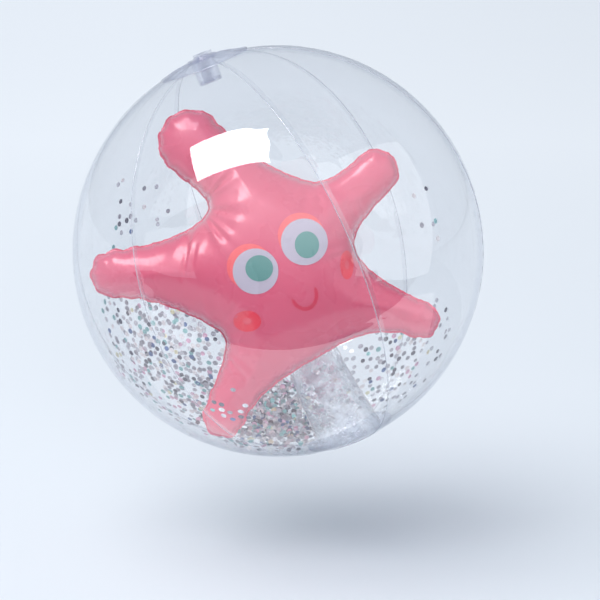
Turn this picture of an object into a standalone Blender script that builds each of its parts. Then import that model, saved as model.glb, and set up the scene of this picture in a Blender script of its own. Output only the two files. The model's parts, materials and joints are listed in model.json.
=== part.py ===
"""Clear inflatable beach ball with an air-filled star inside it.

The ball is six film gores lap-welded to each other and closed at each pole by a round disc. The disc at
the top carries the ball's own valve. The disc at the bottom carries the star's valve, whose air goes up a
film sleeve into the star. Loose glitter lies at the bottom.

World frame, in metres: the origin is the ball's centre, +Z is up and -Y is the side the star faces.
"""
import math

import bmesh
import bpy
import numpy as np
from mathutils import Matrix, Vector

MM = 0.001
GAP = 0.3 * MM                 # clearance between pieces that touch

# Ball skin
BALL_RADIUS = 175 * MM         # outer face of the film
FILM = 0.4 * MM
GORES = 6
POLE_LEAN = math.radians(21.1)    # the pole leans to -X
POLE_BACK = math.radians(1.8)     # and a little to +Y
FIRST_SEAM = math.radians(-6)     # azimuth of one seam about the pole axis
GORE_END = 30 * MM             # the gores stop at this distance from the pole axis
GORE_ROWS = 21
GORE_SEGMENTS = 6
LAP = 4 * MM                   # how far one gore runs under the next
JOG = 1 * MM                   # the length over which the lap steps inward

# Pole discs
DISC_RADIUS = 38.5 * MM
DISC_HOLE = 10.8 * MM
DISC_RINGS = (31 * MM, 24 * MM, 17 * MM)
DISC_TENT = 1.2 * MM           # how far the stiff valve lifts the middle of the disc
DISC_SEGMENTS = 30

# Valve: heights are measured along the pole axis from the ball's radius
SEGMENTS = 24
FLANGE_RADIUS = 12.7 * MM
FLANGE_TOP = 2.6 * MM
FLANGE_THICKNESS = 0.8 * MM
NECK_CLEARANCE = 0.4 * MM      # between the flange's hole and the stem that slides in it
CUP_RADIUS = 10.5 * MM
CUP_TAPER = 0.5 * MM
CUP_WALL = 0.9 * MM
CUP_FLOOR = -19.4 * MM         # underside of the cup's floor
CUP_FLOOR_HOLE = 7 * MM
STEM_RADIUS = 5.4 * MM
STEM_BORE = 4.6 * MM
STEM_TOP = 4.2 * MM
FOOT_RADIUS = 8.9 * MM
FOOT_THICKNESS = 1.2 * MM
FLAP_RADIUS = 5.2 * MM
FLAP_THICKNESS = 0.6 * MM
STRAP_THICKNESS = 0.8 * MM
STRAP_RING = 7.2 * MM
ARM_WIDTH = 3.2 * MM           # strip from the strap's ring, and from the cap, to the hinge
ARM_CLEAR = math.radians(30)   # half of the part of a round outline that the strip replaces
HINGE_REACH = 9.8 * MM         # distance of the cap's hinge from the valve's axis
HINGE_HEIGHT = 4.1 * MM        # between the strap's top and the cap's underside
CAP_RADIUS = 6.5 * MM
CAP_THICKNESS = 1.4 * MM
PLUG_RADIUS = 4.3 * MM
PLUG_TIP_RADIUS = 3.9 * MM
PLUG_LENGTH = 3.5 * MM

# Star, in its own plane: x to the right, y up, z to the side that it faces
STAR_LEAN = math.radians(15)      # the star leans back from upright
STAR_CENTRE = (4.9 * MM, -9.1 * MM)
STAR_ARMS = (                     # direction in degrees, reach in mm, tip radius in mm
    (-110.7, 160, 16.5),
    (-23, 143.5, 16.5),
    (44.4, 130, 20.5),
    (127.8, 158, 29),
    (184, 166, 21),
)
STAR_PITS = (                     # the armpit after each arm: direction, distance and how broad it is
    (-58.6, 86, 1.0),
    (12, 62.5, 0.7),
    (73.5, 73, 0.9),
    (147.3, 79, 0.75),
    (229.5, 82, 0.5),
)
STAR_FULLNESS = 0.80              # thickness of an arm against its width
STAR_SKIN = 0.3 * MM
STAR_FLANGE = 3 * MM              # flat weld round the star's edge
STAR_RINGS = 8
OUTLINE_COARSE = (5, 5)           # outline points along a limb's side and round its tip
OUTLINE_FINE = (24, 16)
HEIGHT_CELL = 3 * MM
HEIGHT_SPAN = 190 * MM
HEIGHT_PASSES = 2500

# Air sleeve between the star's valve and its back: a quadratic curve, in the star's frame
SLEEVE_SKIN = 0.3 * MM
SLEEVE_HOLE = 15 * MM             # radius of the hole in the star's back
SLEEVE_LAP = 2 * MM               # how far the sleeve reaches past that hole
SLEEVE_SEGMENTS = 24
SLEEVE_RINGS = 7
SLEEVE_TOP = (15 * MM, -48 * MM)  # where it meets the star's back
SLEEVE_START_DEPTH = 6 * MM       # how far inside the ball's radius the curve starts
SLEEVE_BEND = (26 * MM, -88 * MM, -56 * MM)
SLEEVE_END = -64 * MM
SLEEVE_WIDE = 28 * MM             # radius over the valve
SLEEVE_NARROW = 18 * MM           # radius behind the star

# Loose glitter
HEAP_ANGLE = math.radians(10.5)
HEAP_CLEARANCE = 1.9 * MM         # from the ball's radius to the heap's underside
HEAP_DEPTH = 2.4 * MM
HEAP_RIM = 0.4 * MM               # thickness at the heap's edge
HEAP_RINGS = 4

COLOURS = {
    "clear_film": ((0.80, 0.83, 0.90), 0.08, 0.25),
    "disc_film": ((0.62, 0.66, 0.80), 0.12, 0.45),
    "clear_vinyl": ((0.66, 0.69, 0.82), 0.15, 0.6),
    "sleeve_film": ((0.80, 0.83, 0.88), 0.35, 0.5),
    "pink_vinyl": ((0.76, 0.24, 0.36), 0.3, 1.0),
    "glitter": ((0.45, 0.45, 0.50), 0.3, 1.0),
}


def clear_scene():
    for obj in list(bpy.data.objects):
        bpy.data.objects.remove(obj)


def material(name, finish):
    """A Principled material of its own for one node."""
    colour, roughness, alpha = COLOURS[finish]
    made = bpy.data.materials.new(name + "_" + finish)
    made.use_nodes = True
    shader = made.node_tree.nodes["Principled BSDF"]
    shader.inputs["Base Color"].default_value = (*colour, 1)
    shader.inputs["Roughness"].default_value = roughness
    shader.inputs["Metallic"].default_value = 0.6 if finish == "glitter" else 0.0
    shader.inputs["Alpha"].default_value = alpha
    made.diffuse_color = (*colour, alpha)
    return made


def frame(name, matrix):
    """An empty that holds the pieces of one local frame."""
    empty = bpy.data.objects.new(name, None)
    bpy.context.scene.collection.objects.link(empty)
    empty.matrix_world = matrix
    return empty


def piece(name, points, faces, finish, parent, origin=(0, 0, 0)):
    """A named object from points in its parent's frame, with its own origin at the given point."""
    origin = Vector(origin)
    mesh = bpy.data.meshes.new(name)
    mesh.from_pydata([Vector(p) - origin for p in points], [], faces)
    work = bmesh.new()
    work.from_mesh(mesh)
    bmesh.ops.remove_doubles(work, verts=work.verts, dist=1e-6)
    if all(edge.is_manifold for edge in work.edges):
        bmesh.ops.recalc_face_normals(work, faces=work.faces)
    work.to_mesh(mesh)
    work.free()
    mesh.shade_smooth()
    mesh.set_sharp_from_angle(angle=math.radians(35))
    obj = bpy.data.objects.new(name, mesh)
    bpy.context.scene.collection.objects.link(obj)
    obj.data.materials.append(material(name, finish))
    obj.parent = parent
    obj.location = origin
    return obj


def grid_faces(rows, columns, wrap):
    """Quads of a grid of points, listed row by row. With wrap, the last column joins the first."""
    last = columns if wrap else columns - 1
    return [
        (r * columns + c, r * columns + (c + 1) % columns,
         (r + 1) * columns + (c + 1) % columns, (r + 1) * columns + c)
        for r in range(rows - 1) for c in range(last)
    ]


def sheet(name, rows, thickness, finish, parent, wrap=False):
    """A film: the grid is its outer face, and Solidify gives it its thickness inward."""
    points = [p for row in rows for p in row]
    obj = piece(name, points, grid_faces(len(rows), len(rows[0]), wrap), finish, parent)
    solid = obj.modifiers.new("thickness", "SOLIDIFY")
    solid.thickness = thickness
    solid.offset = -1
    solid.use_rim = True
    return obj


def loft(name, loops, finish, parent, ring=False, origin=(0, 0, 0)):
    """A solid through loops of equal length, capped at both ends, or closed on itself as a ring."""
    count = len(loops[0])
    points = [p for loop in loops for p in loop]
    faces = grid_faces(len(loops), count, True)
    if ring:
        start = (len(loops) - 1) * count
        faces += [(start + i, start + (i + 1) % count, (i + 1) % count, i) for i in range(count)]
    else:
        faces += [tuple(reversed(range(count))), tuple(range(len(points) - count, len(points)))]
    return piece(name, points, faces, finish, parent, origin)


def circle(radius, height, segments=SEGMENTS):
    turn = 2 * math.pi / segments
    return [(radius * math.cos(i * turn), radius * math.sin(i * turn), height) for i in range(segments)]


def turned(name, profile, finish, parent, segments=SEGMENTS):
    """A ring turned about the local Z axis from a closed profile of (radius, height)."""
    return loft(name, [circle(r, z, segments) for r, z in profile], finish, parent, ring=True)


# Ball skin

def sphere_point(polar, azimuth, radius):
    return (radius * math.sin(polar) * math.cos(azimuth),
            radius * math.sin(polar) * math.sin(azimuth),
            radius * math.cos(polar))


def gore_row(polar, start, end):
    """One row across a gore, from its free edge to the tongue that runs under the next gore."""
    around = BALL_RADIUS * math.sin(polar)
    first = start + (LAP + JOG) / around
    last = end - JOG / around
    row = [(start + GAP / around, BALL_RADIUS)]
    row += [(first + (last - first) * i / GORE_SEGMENTS, BALL_RADIUS) for i in range(GORE_SEGMENTS + 1)]
    under = BALL_RADIUS - FILM - GAP
    row += [(end - GAP / around, under), (end + LAP / around, under)]
    return [sphere_point(polar, azimuth, radius) for azimuth, radius in row]


def make_gores(parent):
    step = 2 * math.pi / GORES
    near = math.asin(GORE_END / BALL_RADIUS)
    polars = [near + (math.pi - 2 * near) * i / (GORE_ROWS - 1) for i in range(GORE_ROWS)]
    for k in range(GORES):
        start = FIRST_SEAM + k * step
        rows = [gore_row(polar, start, start + step) for polar in reversed(polars)]
        sheet(f"gore_{k + 1}", rows, FILM, "clear_film", parent)


def disc_height(radius):
    """Height of the disc's outer face over the centre of the ball."""
    fall = max(0.0, 1 - radius / DISC_RADIUS)
    outer = BALL_RADIUS + GAP + FILM
    return math.sqrt(outer ** 2 - radius ** 2) + DISC_TENT * min(1.0, 1.5 * fall)


def make_disc(name, parent):
    rows = [circle(r, disc_height(r), DISC_SEGMENTS) for r in (DISC_RADIUS, *DISC_RINGS, DISC_HOLE)]
    sheet(name, rows, FILM, "disc_film", parent, wrap=True)


# Valves

def with_arm(radius, height):
    """A round outline with a straight arm along +X that ends at the hinge."""
    side = ARM_WIDTH / 2
    root = math.asin(side / radius)
    loop = [(HINGE_REACH, -side), (HINGE_REACH, side), (radius * math.cos(root), side)]
    steps = SEGMENTS - 4
    for i in range(steps):
        angle = ARM_CLEAR + (2 * math.pi - 2 * ARM_CLEAR) * i / (steps - 1)
        loop.append((radius * math.cos(angle), radius * math.sin(angle)))
    loop.append((radius * math.cos(root), -side))
    return [(x, y, height) for x, y in loop]


def inside_arm(radius, height):
    """A circle whose points face those of with_arm."""
    points = []
    for x, y, _ in with_arm(STRAP_RING, height):
        angle = math.atan2(y, x)
        points.append((radius * math.cos(angle), radius * math.sin(angle), height))
    return points


def make_base(prefix, parent):
    r, top, under = BALL_RADIUS, FLANGE_TOP, FLANGE_TOP - FLANGE_THICKNESS
    neck = STEM_RADIUS + NECK_CLEARANCE
    inner_top = CUP_RADIUS - CUP_WALL
    inner_low = inner_top - CUP_TAPER
    floor_top = CUP_FLOOR + CUP_WALL
    turned(prefix + "_base", [
        (neck, r + top), (FLANGE_RADIUS, r + top), (FLANGE_RADIUS, r + under), (CUP_RADIUS, r + under),
        (CUP_RADIUS - CUP_TAPER, r + CUP_FLOOR), (CUP_FLOOR_HOLE, r + CUP_FLOOR),
        (CUP_FLOOR_HOLE, r + floor_top), (inner_low, r + floor_top),
        (inner_top, r + top - CUP_WALL), (neck, r + top - CUP_WALL),
    ], "clear_vinyl", parent)


def make_stem(prefix, parent):
    r = BALL_RADIUS
    foot = CUP_FLOOR + CUP_WALL + GAP
    shoulder = foot + FOOT_THICKNESS
    turned(prefix + "_stem", [
        (STEM_BORE, r + STEM_TOP), (STEM_RADIUS, r + STEM_TOP), (STEM_RADIUS, r + shoulder),
        (FOOT_RADIUS, r + shoulder), (FOOT_RADIUS, r + foot), (STEM_BORE, r + foot),
    ], "clear_vinyl", parent)


def make_flap(prefix, parent):
    """The check flap under the stem. It hinges on the side away from the cap's hinge."""
    top = BALL_RADIUS + CUP_FLOOR + CUP_WALL
    hinge = (-STEM_RADIUS, 0, top)
    loops = [circle(FLAP_RADIUS, top - FLAP_THICKNESS), circle(FLAP_RADIUS, top)]
    loft(prefix + "_flap", loops, "clear_vinyl", parent, origin=hinge)


def make_strap(prefix, parent):
    low = BALL_RADIUS + FLANGE_TOP + GAP
    high = low + STRAP_THICKNESS
    inner = STEM_RADIUS + GAP
    loft(prefix + "_strap", [
        with_arm(STRAP_RING, high), with_arm(STRAP_RING, low),
        inside_arm(inner, low), inside_arm(inner, high),
    ], "clear_vinyl", parent, ring=True)


def make_cap(prefix, parent):
    """The stopper: a head, its tapered plug in the stem's bore and a tab to the hinge."""
    under = BALL_RADIUS + STEM_TOP + GAP
    hinge = (HINGE_REACH, 0, BALL_RADIUS + HINGE_HEIGHT)
    loft(prefix + "_cap", [
        with_arm(CAP_RADIUS, under + CAP_THICKNESS), with_arm(CAP_RADIUS, under),
        inside_arm(PLUG_RADIUS, under), inside_arm(PLUG_TIP_RADIUS, under - PLUG_LENGTH),
    ], "clear_vinyl", parent, origin=hinge)


def make_pole(name, parent):
    make_disc(name + "_disc", parent)
    for make in (make_base, make_stem, make_flap, make_strap, make_cap):
        make(name + "_valve", parent)


# Star

def polar_point(degrees, distance):
    angle = math.radians(degrees)
    return np.array(STAR_CENTRE) + distance * np.array([math.cos(angle), math.sin(angle)])


def limb_side(pit, tip, pit_way, tip_way, steps):
    """Points of a smooth curve from an armpit to the start of a tip's arc, or back."""
    reach = np.linalg.norm(tip - pit)
    points = []
    for i in range(steps):
        t = i / steps
        h = (2 * t ** 3 - 3 * t ** 2 + 1, t ** 3 - 2 * t ** 2 + t, 3 * t ** 2 - 2 * t ** 3, t ** 3 - t ** 2)
        points.append(h[0] * pit + h[1] * reach * pit_way + h[2] * tip + h[3] * reach * tip_way)
    return points


def star_outline(side_steps, tip_steps):
    """The star's outer edge, anticlockwise, armpit by armpit."""
    pits = [(polar_point(a, d * MM), breadth) for a, d, breadth in STAR_PITS]
    points = []
    for k, (degrees, reach, tip_radius) in enumerate(STAR_ARMS):
        (before, breadth_before), (after, breadth_after) = pits[k - 1], pits[k]
        tip_radius *= MM
        middle = polar_point(degrees, reach * MM - tip_radius)
        along = (middle - np.array(STAR_CENTRE)) / np.linalg.norm(middle - np.array(STAR_CENTRE))
        across = np.array([-along[1], along[0]])
        start, end = middle - across * tip_radius, middle + across * tip_radius
        points += limb_side(before, start, pit_way(before) * breadth_before, along, side_steps)
        for i in range(tip_steps):
            turn = math.pi * i / tip_steps
            points.append(middle + tip_radius * (-across * math.cos(turn) + along * math.sin(turn)))
        points += limb_side(end, after, -along, pit_way(after) * breadth_after, side_steps)
    return np.array(points)


def pit_way(pit):
    """The outline's direction at an armpit: square to the line from the star's centre."""
    out = (pit - np.array(STAR_CENTRE)) / np.linalg.norm(pit - np.array(STAR_CENTRE))
    return np.array([-out[1], out[0]])


def inset(outline, distance):
    ahead = np.roll(outline, -1, 0) - np.roll(outline, 1, 0)
    ahead /= np.linalg.norm(ahead, axis=1)[:, None]
    return outline + distance * np.stack([-ahead[:, 1], ahead[:, 0]], 1)


def is_inside(x, y, outline):
    """Even-odd test of grid points against a closed outline."""
    inside = np.zeros(x.shape, bool)
    for (x0, y0), (x1, y1) in zip(outline, np.roll(outline, -1, 0)):
        if y0 != y1:
            crosses = (y0 > y) != (y1 > y)
            inside ^= crosses & (x < x0 + (y - y0) * (x1 - x0) / (y1 - y0))
    return inside


def height_field(outline):
    """Half thickness of the blown-up star on a grid: a film held flat at its edge and pushed out evenly."""
    ticks = np.arange(-HEIGHT_SPAN, HEIGHT_SPAN + HEIGHT_CELL / 2, HEIGHT_CELL)
    x, y = np.meshgrid(ticks, ticks, indexing="ij")
    inside = is_inside(x, y, outline)
    push = np.zeros(x.shape)
    for _ in range(HEIGHT_PASSES):
        around = np.roll(push, 1, 0) + np.roll(push, -1, 0) + np.roll(push, 1, 1) + np.roll(push, -1, 1)
        push = np.where(inside, (around + HEIGHT_CELL ** 2) / 4, 0)
    return ticks, np.sqrt(2 * push) * STAR_FULLNESS


def height_at(field, x, y):
    ticks, heights = field
    i, fx = divmod((x - ticks[0]) / HEIGHT_CELL, 1)
    j, fy = divmod((y - ticks[0]) / HEIGHT_CELL, 1)
    i, j = int(i), int(j)
    low = heights[i, j] * (1 - fy) + heights[i, j + 1] * fy
    high = heights[i + 1, j] * (1 - fy) + heights[i + 1, j + 1] * fy
    return float(low * (1 - fx) + high * fx)


def star_rows(field, edge, side):
    """Rings of points from the star's edge to its centre, on one face. side is 1 in front and -1 behind."""
    lift = GAP / 2 + STAR_SKIN
    blown = inset(edge, STAR_FLANGE)
    centre = np.array(STAR_CENTRE)
    rows = [[(x, y, side * lift) for x, y in edge]]
    for i in range(STAR_RINGS + 1):
        part = math.cos(math.pi / 2 * i / STAR_RINGS) ** 0.8 if i < STAR_RINGS else 0.0
        ring = centre + (blown - centre) * part
        rows.append([(x, y, side * (lift + height_at(field, x, y))) for x, y in ring])
    return rows if side > 0 else [list(reversed(row)) for row in rows]


def cut_sleeve_hole(skin, parent):
    """A round hole in the star's back. The cutter stops short of the front skin."""
    loops = [circle(SLEEVE_HOLE, z) for z in (-BALL_RADIUS, -STAR_FLANGE)]
    cutter = loft("sleeve_hole_cutter", loops, "pink_vinyl", parent)
    cutter.location = (*SLEEVE_TOP, 0)
    cutter.display_type = "WIRE"
    cutter.hide_render = True
    hole = skin.modifiers.new("sleeve_hole", "BOOLEAN")
    hole.operation = "DIFFERENCE"
    hole.solver = "EXACT"
    hole.object = cutter


def make_star(parent):
    edge = star_outline(*OUTLINE_COARSE)
    field = height_field(inset(star_outline(*OUTLINE_FINE), STAR_FLANGE))
    sheet("star_front_skin", star_rows(field, edge, 1), STAR_SKIN, "pink_vinyl", parent, wrap=True)
    back = sheet("star_back_skin", star_rows(field, edge, -1), STAR_SKIN, "pink_vinyl", parent, wrap=True)
    cut_sleeve_hole(back, parent)
    return field


def sleeve_path(bottom_pole):
    """Centres and radii of the sleeve's rings in the star's frame, from the bottom disc up to the star."""
    start = bottom_pole * (BALL_RADIUS - SLEEVE_START_DEPTH)
    bend = Vector(SLEEVE_BEND)
    end = Vector((*SLEEVE_TOP, SLEEVE_END))
    path = []
    for i in range(SLEEVE_RINGS):
        t = i / (SLEEVE_RINGS - 1)
        centre = start * (1 - t) ** 2 + bend * 2 * t * (1 - t) + end * t ** 2
        ahead = (bend - start) * (1 - t) + (end - bend) * t
        path.append((centre, ahead.normalized(), SLEEVE_WIDE + (SLEEVE_NARROW - SLEEVE_WIDE) * t))
    return path


def make_sleeve(field, bottom_pole, parent):
    """The bottom ring lies under the disc, and the top ring lies round the hole in the star's back."""
    rows = []
    for centre, ahead, radius in sleeve_path(bottom_pole):
        right = Vector((1, 0, 0)) - ahead * ahead.x
        right.normalize()
        back = ahead.cross(right)
        ring = []
        for i in range(SLEEVE_SEGMENTS):
            turn = 2 * math.pi * i / SLEEVE_SEGMENTS
            ring.append(centre + right * radius * math.cos(turn) + back * radius * math.sin(turn))
        rows.append(ring)
    rows[0] = [p.normalized() * (BALL_RADIUS - GAP) for p in rows[0]]
    under_skin = 2.5 * GAP + STAR_SKIN + SLEEVE_SKIN
    top = []
    for x, y, _ in circle(SLEEVE_HOLE + SLEEVE_LAP, 0, SLEEVE_SEGMENTS):
        x, y = x + SLEEVE_TOP[0], y + SLEEVE_TOP[1]
        top.append(Vector((x, y, -height_at(field, x, y) - under_skin)))
    rows.append(top)
    sheet("star_sleeve", rows, SLEEVE_SKIN, "sleeve_film", parent, wrap=True)


# Glitter

def make_glitter(parent):
    """The heap of loose flakes on the lowest part of the wall, as one lens."""
    outer = BALL_RADIUS - HEAP_CLEARANCE
    loops = []
    angles = [HEAP_ANGLE * (i + 1) / HEAP_RINGS for i in range(HEAP_RINGS)]
    for angle in angles:
        loops.append(circle(outer * math.sin(angle), -outer * math.cos(angle)))
    for angle in reversed(angles):
        inner = outer - HEAP_RIM - HEAP_DEPTH * (1 - (angle / HEAP_ANGLE) ** 2)
        loops.append(circle(inner * math.sin(angle), -inner * math.cos(angle)))
    loft("glitter_heap", loops, "glitter", parent)


def main():
    clear_scene()
    pole = Matrix.Rotation(-POLE_LEAN, 4, "Y") @ Matrix.Rotation(-POLE_BACK, 4, "X")
    flipped = pole @ Matrix.Rotation(math.pi, 4, "X")
    plane = Matrix.Rotation(math.pi / 2 - STAR_LEAN, 4, "X")
    ball = frame("ball_frame", pole)
    star = frame("star_frame", plane)
    make_gores(ball)
    make_pole("top", ball)
    make_pole("bottom", frame("bottom_frame", flipped))
    field = make_star(star)
    make_sleeve(field, (plane.inverted() @ flipped).to_3x3() @ Vector((0, 0, 1)), star)
    make_glitter(frame("heap_frame", Matrix()))


main()
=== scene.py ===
"""The clear beach ball and the star inside it, as they look: film, welds, valves, print and glitter."""
import json
import math
import random

import bmesh
import bpy
import numpy as np
from mathutils import Matrix, Vector
from mathutils.bvhtree import BVHTree
from mathutils.geometry import delaunay_2d_cdt


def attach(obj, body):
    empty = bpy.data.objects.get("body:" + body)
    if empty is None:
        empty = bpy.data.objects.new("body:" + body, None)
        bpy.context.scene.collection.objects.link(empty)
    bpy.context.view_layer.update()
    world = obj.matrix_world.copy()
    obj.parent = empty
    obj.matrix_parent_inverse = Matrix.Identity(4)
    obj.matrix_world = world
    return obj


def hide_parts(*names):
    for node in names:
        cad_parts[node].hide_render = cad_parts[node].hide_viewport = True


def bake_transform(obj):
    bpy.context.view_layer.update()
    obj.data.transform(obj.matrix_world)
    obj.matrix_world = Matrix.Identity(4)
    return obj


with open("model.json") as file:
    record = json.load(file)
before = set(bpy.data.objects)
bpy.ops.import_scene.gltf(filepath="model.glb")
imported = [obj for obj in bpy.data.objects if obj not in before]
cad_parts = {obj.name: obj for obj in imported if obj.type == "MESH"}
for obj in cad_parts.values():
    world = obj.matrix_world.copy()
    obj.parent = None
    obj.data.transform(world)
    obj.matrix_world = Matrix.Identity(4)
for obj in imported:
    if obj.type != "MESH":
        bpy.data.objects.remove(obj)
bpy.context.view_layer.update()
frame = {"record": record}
MM = 0.001

# Places that the frame gives
MOUNTS = {m["name"]: m for m in frame["record"]["mounts"]}
JOINTS = {j["name"]: j for j in frame["record"]["behaviour"]["joints"]}
BALL_RADIUS = -MOUNTS["resting_contact"]["pos_m"][2]


def pole_matrix(end):
    """The local frame of one pole: +Z out along the valve, +X towards the hinge of its cap."""
    up = Vector(MOUNTS[end + "_valve_face"]["axis"]).normalized()
    side = Vector(JOINTS[end + "_cap_hinge"]["axis"]).normalized()
    return Matrix((side.cross(up), side, up)).transposed().to_4x4()


POLES = {"top": pole_matrix("top"), "bottom": pole_matrix("bottom")}
BOTTOM_WAY = POLES["bottom"].to_3x3() @ Vector((0, 0, 1))

# Ball skin
GORES = 6
FIRST_SEAM = math.radians(-6)
GORE_END = 30 * MM
GORE_ROWS = 121
GORE_COLUMNS = 41
LOBE = 0.7 * MM                # how far the welds pull the skin in
PUCKER = 0.18 * MM             # height of the small folds beside a weld
PUCKER_REACH = 7 * MM
BEAD = 0.42 * MM               # half width of the raised edge of a weld
WELD_WIDTH = 4 * MM

# Discs and valves, as in the CAD
DISC_RADIUS = 38.5 * MM
DISC_HOLE = 10.8 * MM
DISC_TENT = 1.2 * MM
FILM = 0.4 * MM
GAP = 0.3 * MM
FLANGE_RADIUS, FLANGE_TOP, FLANGE_THICKNESS = 12.7 * MM, 2.6 * MM, 0.8 * MM
CUP_RADIUS, CUP_TAPER, CUP_WALL, CUP_FLOOR = 10.5 * MM, 0.5 * MM, 0.9 * MM, -19.4 * MM
CUP_FLOOR_HOLE = 7 * MM
STEM_RADIUS, STEM_BORE, STEM_TOP = 5.4 * MM, 4.6 * MM, 4.2 * MM
FOOT_RADIUS, FOOT_THICKNESS = 8.9 * MM, 1.2 * MM
FLAP_RADIUS, FLAP_THICKNESS = 5.2 * MM, 0.6 * MM
STRAP_RING, STRAP_THICKNESS, ARM_WIDTH = 7.2 * MM, 0.8 * MM, 3.2 * MM
HINGE_REACH = 9.8 * MM
CAP_RADIUS, CAP_THICKNESS = 6.5 * MM, 1.4 * MM
PLUG_RADIUS, PLUG_TIP_RADIUS, PLUG_LENGTH = 4.3 * MM, 3.9 * MM, 3.5 * MM
TURNS = 72

# Star: as in the CAD, but with a wider leg and a narrower weld
STAR_LEAN = math.radians(15)
STAR_CENTRE = np.array([4.9, -9.1]) * MM
STAR_ARMS = ((-111.2, 160, 18.5), (-23, 143.5, 16.5), (44.4, 130, 20.5), (127.8, 158, 29), (184, 166, 21))
STAR_PITS = ((-58.6, 86, 1.0), (12, 62.5, 0.7), (73.5, 73, 0.9), (147.3, 79, 0.75), (229.5, 82, 0.5))
STAR_FULLNESS = 0.80
STAR_FLANGE = 1.1 * MM         # flat weld left showing round the blown-up film
CELL = 2 * MM
SPAN = 190 * MM
PASSES = 3500
NET_STEP = 3.4 * MM            # spacing of the simulated film's points
PRESSURE = 4.0
SIM_FRAMES = 20
SIM_CAP = 5 * MM               # the most that a point may move while the star fills
IN_PLANE = 0.05                # share of its drift in the star's plane that a point keeps
RIM_GROWTH = 0.10              # the weld shrinks the edge, so the film beside it has this much spare
LOBE_LENGTH = 17 * MM          # from one pucker of the star's weld to the next
PIT_FOLDS = (0.35, 0.40, 0.35, 1.5, 0.6)     # height in mm of the folds fanning from each armpit
FAN_START, FAN_REACH, FAN_WIDTH = 7, 24 * MM, 17 * MM     # where the folds of an armpit begin (mm) and peak
FAN_FADE = 7 * MM              # the folds and creases end this near the rim
CREASES = ((-78, 16, 2.1), (-71.5, 14, 1.3))   # across the left arm: x, half length and depth in mm
STAR_PUCKER, STAR_PUCKER_FADE = 0.8 * MM, 6 * MM
TIP_START, TIP_RISE = 95 * MM, 35 * MM         # distances over which the puckers of a tip grow
SPARE_REACH = 11 * MM          # how far from the rim the film has some to spare
AIR_GUESS = 0.0008             # what the height field starts from

# Sleeve
SLEEVE_TOP = (15 * MM, -48 * MM)
SLEEVE_HOLE = 15 * MM
SLEEVE_RADIUS, SLEEVE_TAPER = 28, 10   # mm at the ball, and how much narrower it is at the star
SLEEVE_BEND = Vector((21 * MM, -88 * MM, -56 * MM))
SLEEVE_SQUARE = 0.3            # share of the sleeve's length over which it leaves the pole square to the film
SLEEVE_INSET = 2 * MM          # how far inside the ball's skin the sleeve's wall stays, above its welded end


# Node materials

class Nodes:
    """The node tree of a material or a world, with short calls to add and link nodes."""

    def __init__(self, name, kind="Material"):
        self.owner = (bpy.data.worlds if kind == "World" else bpy.data.materials).new(name)
        self.owner.use_nodes = True
        self.tree = self.owner.node_tree
        self.tree.nodes.clear()
        self.output = self.tree.nodes.new("ShaderNodeOutput" + kind)

    def add(self, kind, **inputs):
        node = self.tree.nodes.new("ShaderNode" + kind)
        for key, value in inputs.items():
            if key.startswith("set_"):
                setattr(node, key[4:], value)
            else:
                self.feed(node.inputs[key.replace("_", " ")], value)
        return node

    def feed(self, socket, value):
        if isinstance(value, bpy.types.NodeSocket):
            self.tree.links.new(value, socket)
        elif isinstance(value, bpy.types.Node):
            self.tree.links.new(value.outputs[0], socket)
        else:
            socket.default_value = value

    def fed(self, node, *values):
        """Feeds a node's first inputs in order and gives its first output."""
        for socket, value in zip(node.inputs, values):
            self.feed(socket, value)
        return node.outputs[0]

    def math(self, operation, *values):
        return self.fed(self.add("Math", set_operation=operation), *values)

    def ramp(self, factor, *stops):
        node = self.tree.nodes.new("ShaderNodeValToRGB")
        self.feed(node.inputs[0], factor)
        elements = node.color_ramp.elements
        while len(elements) < len(stops):
            elements.new(0.5)
        for element, (position, colour) in zip(elements, stops):
            element.position = position
            element.color = (*colour, 1)
        return node.outputs[0]

    def noise(self, scale, detail=2.0, roughness=0.5, stretch=(1, 1, 1)):
        place = self.add("TexCoord").outputs["Object"]
        mapped = self.add("Mapping", Vector=place, Scale=stretch)
        return self.add("TexNoise", Vector=mapped.outputs[0], Scale=scale, Detail=detail,
                        Roughness=roughness).outputs["Fac"]

    def bump(self, height, strength, distance):
        node = self.add("Bump", Strength=strength, Distance=distance)
        self.feed(node.inputs["Height"], height)
        return node.outputs[0]

    def mix(self, factor, a, b):
        return self.fed(self.add("MixShader"), factor, a, b)

    def done(self, surface):
        self.feed(self.output.inputs["Surface"], surface)
        return self.owner


def clear_film(name, face_on, edge_on, shine=0.08, haze=0.02, haze_colour=(0.8, 0.83, 0.9), roughness=0.04,
               ripple=0.15, ripple_scale=14.0, mottle=0.0):
    """Thin clear vinyl: it tints what is behind it, more where it is seen edge on, and mirrors."""
    n = Nodes(name)
    facing = n.add("LayerWeight", Blend=0.5).outputs["Facing"]
    tint = n.ramp(facing, (0.0, face_on), (0.72, face_on), (1.0, edge_on))
    normal = n.bump(n.noise(ripple_scale, 3.0), ripple, 4 * MM)
    scuffs = n.noise(90.0, 4.0, 0.7)
    mirror = n.math("MULTIPLY_ADD", n.math("POWER", facing, 4.6), 0.9, shine)
    gloss = n.add("BsdfAnisotropic", Color=(1, 1, 1, 1), Normal=normal,
                  Roughness=n.math("MULTIPLY", scuffs, roughness * 2))
    through = n.add("BsdfTransparent", Color=tint)
    cloudy = n.add("BsdfDiffuse", Color=(*haze_colour, 1))
    veil = n.math("MULTIPLY", scuffs, haze * 2)
    if mottle:
        patches = n.ramp(n.noise(85.0, 3.0, 0.6), (0.38, (1 - mottle,) * 3), (0.62, (1 + mottle,) * 3))
        veil = n.math("MULTIPLY", veil, patches)
    body = n.mix(veil, through, cloudy.outputs[0])
    return n.done(n.mix(mirror, body, gloss.outputs[0]))


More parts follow.
